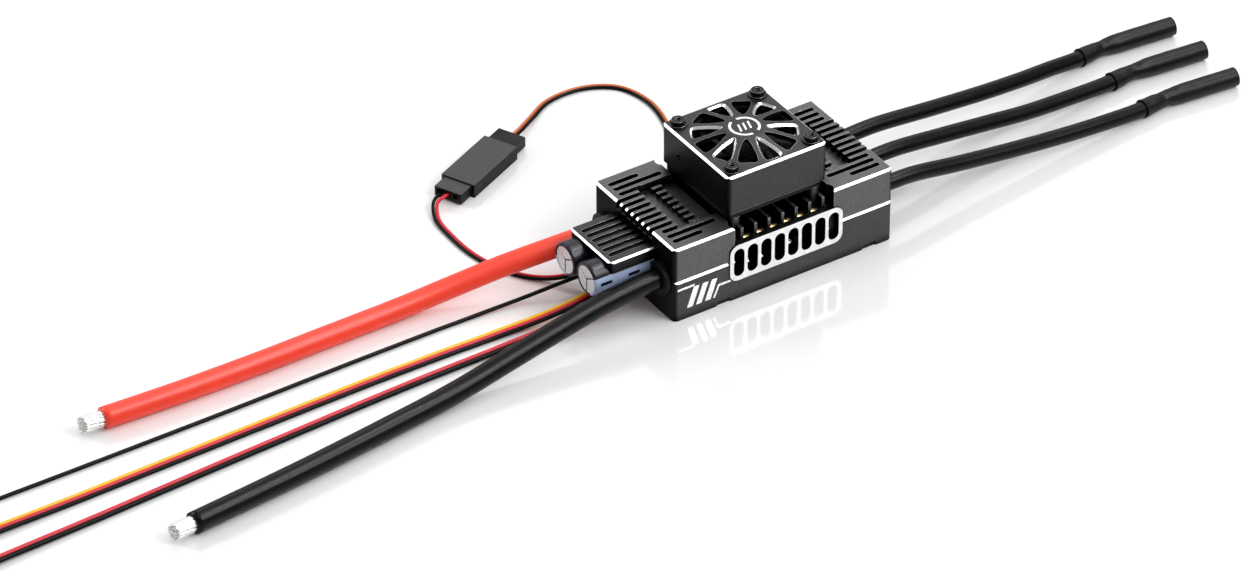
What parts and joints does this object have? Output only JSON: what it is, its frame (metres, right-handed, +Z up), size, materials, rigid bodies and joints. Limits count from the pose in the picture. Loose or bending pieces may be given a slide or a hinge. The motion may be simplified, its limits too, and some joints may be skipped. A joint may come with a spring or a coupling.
{
  "type": "electronic speed controller",
  "caption": "Fan-cooled brushless motor controller: finned metal case, capped capacitors, thick battery and motor leads, and thin signal leads with plugs.",
  "frame": {"origin": "Centre of the flat underside of the metal case, on the surface it stands on.", "axes": "+X along the case towards the three motor leads, +Y to the rear side wall where the fan lead drops, +Z up through the fan."},
  "size_m": [0.417, 0.1153, 0.0381],
  "materials": {
    "anodised_case": "anodised black-grey, satin",
    "anodised_lower": "anodised black, satin",
    "black_plastic": "satin black",
    "grey_plastic": "satin dark grey",
    "steel": "plain",
    "black_steel": "black oxide",
    "bright_frame": "light silver, satin",
    "brass": "plain",
    "circuit_board": "green solder mask",
    "chip_plastic": "moulded black",
    "thermal_rubber": "soft grey pad",
    "black_rubber": "matte black",
    "can_aluminium": "bright can",
    "capacitor_sleeve": "dark navy shrink sleeve",
    "copper_winding": "enamelled copper",
    "magnet": "bonded ferrite",
    "red_silicone": "matte red silicone",
    "black_silicone": "matte black silicone",
    "tinned_wire": "tinned fine strands",
    "heat_shrink": "matte black heat shrink",
    "gold_plate": "gold plated",
    "orange_insulation": "satin orange-brown",
    "red_insulation": "satin red",
    "black_insulation": "satin black",
    "yellow_insulation": "satin yellow"
  },
  "bodies": {
    "controller": {"heatsink": "anodised_case", "lower_case": "anodised_lower", "bottom_cover": "black_plastic", "case_screws": "steel", "vent_frame_front": "bright_frame", "vent_frame_rear": "bright_frame", "heat_spreader_bars": "brass", "power_board": "circuit_board", "control_board": "circuit_board", "board_pins": "brass", "mosfets": "chip_plastic", "controller_chip": "chip_plastic", "thermal_pad": "thermal_rubber", "battery_lugs": "brass", "motor_lugs": "brass", "positive_grommet": "black_rubber", "negative_grommet": "black_rubber", "motor_lead_seals": "black_rubber", "lead_gland": "black_rubber", "capacitor_cans": "can_aluminium", "capacitor_sleeves": "capacitor_sleeve", "capacitor_bungs": "black_rubber", "capacitor_pins": "steel", "capacitor_cover": "anodised_case", "fan_cover": "anodised_case", "fan_screws": "black_steel", "fan_washers": "black_steel", "fan_frame": "black_plastic", "fan_bearing": "brass", "fan_stator": "copper_winding", "fan_board": "circuit_board", "positive_lead": "red_silicone", "negative_lead": "black_silicone", "positive_strands": "tinned_wire", "negative_strands": "tinned_wire", "motor_lead_a": "black_silicone", "motor_lead_b": "black_silicone", "motor_lead_c": "black_silicone", "heat_shrink_a": "heat_shrink", "heat_shrink_b": "heat_shrink", "heat_shrink_c": "heat_shrink", "motor_socket_a": "gold_plate", "motor_socket_b": "gold_plate", "motor_socket_c": "gold_plate", "fan_lead": "orange_insulation", "fan_plug": "black_plastic", "fan_plug_shroud": "grey_plastic", "fan_plug_contacts": "gold_plate", "fan_supply_lead": "red_insulation", "telemetry_lead": "black_insulation", "telemetry_plug": "black_plastic", "throttle_lead": "yellow_insulation", "throttle_plug": "black_plastic", "bec_lead": "red_insulation", "bec_plug": "black_plastic"},
    "rotor": {"fan_impeller": "black_plastic", "fan_shaft": "steel", "fan_magnet": "magnet"}
  },
  "joints": [
    {"name": "fan_spin", "type": "hinge", "parent": "controller", "child": "rotor", "pos_m": [0, 0, 0.0275], "axis": [0, 0, 1], "continuous": true}
  ]
}
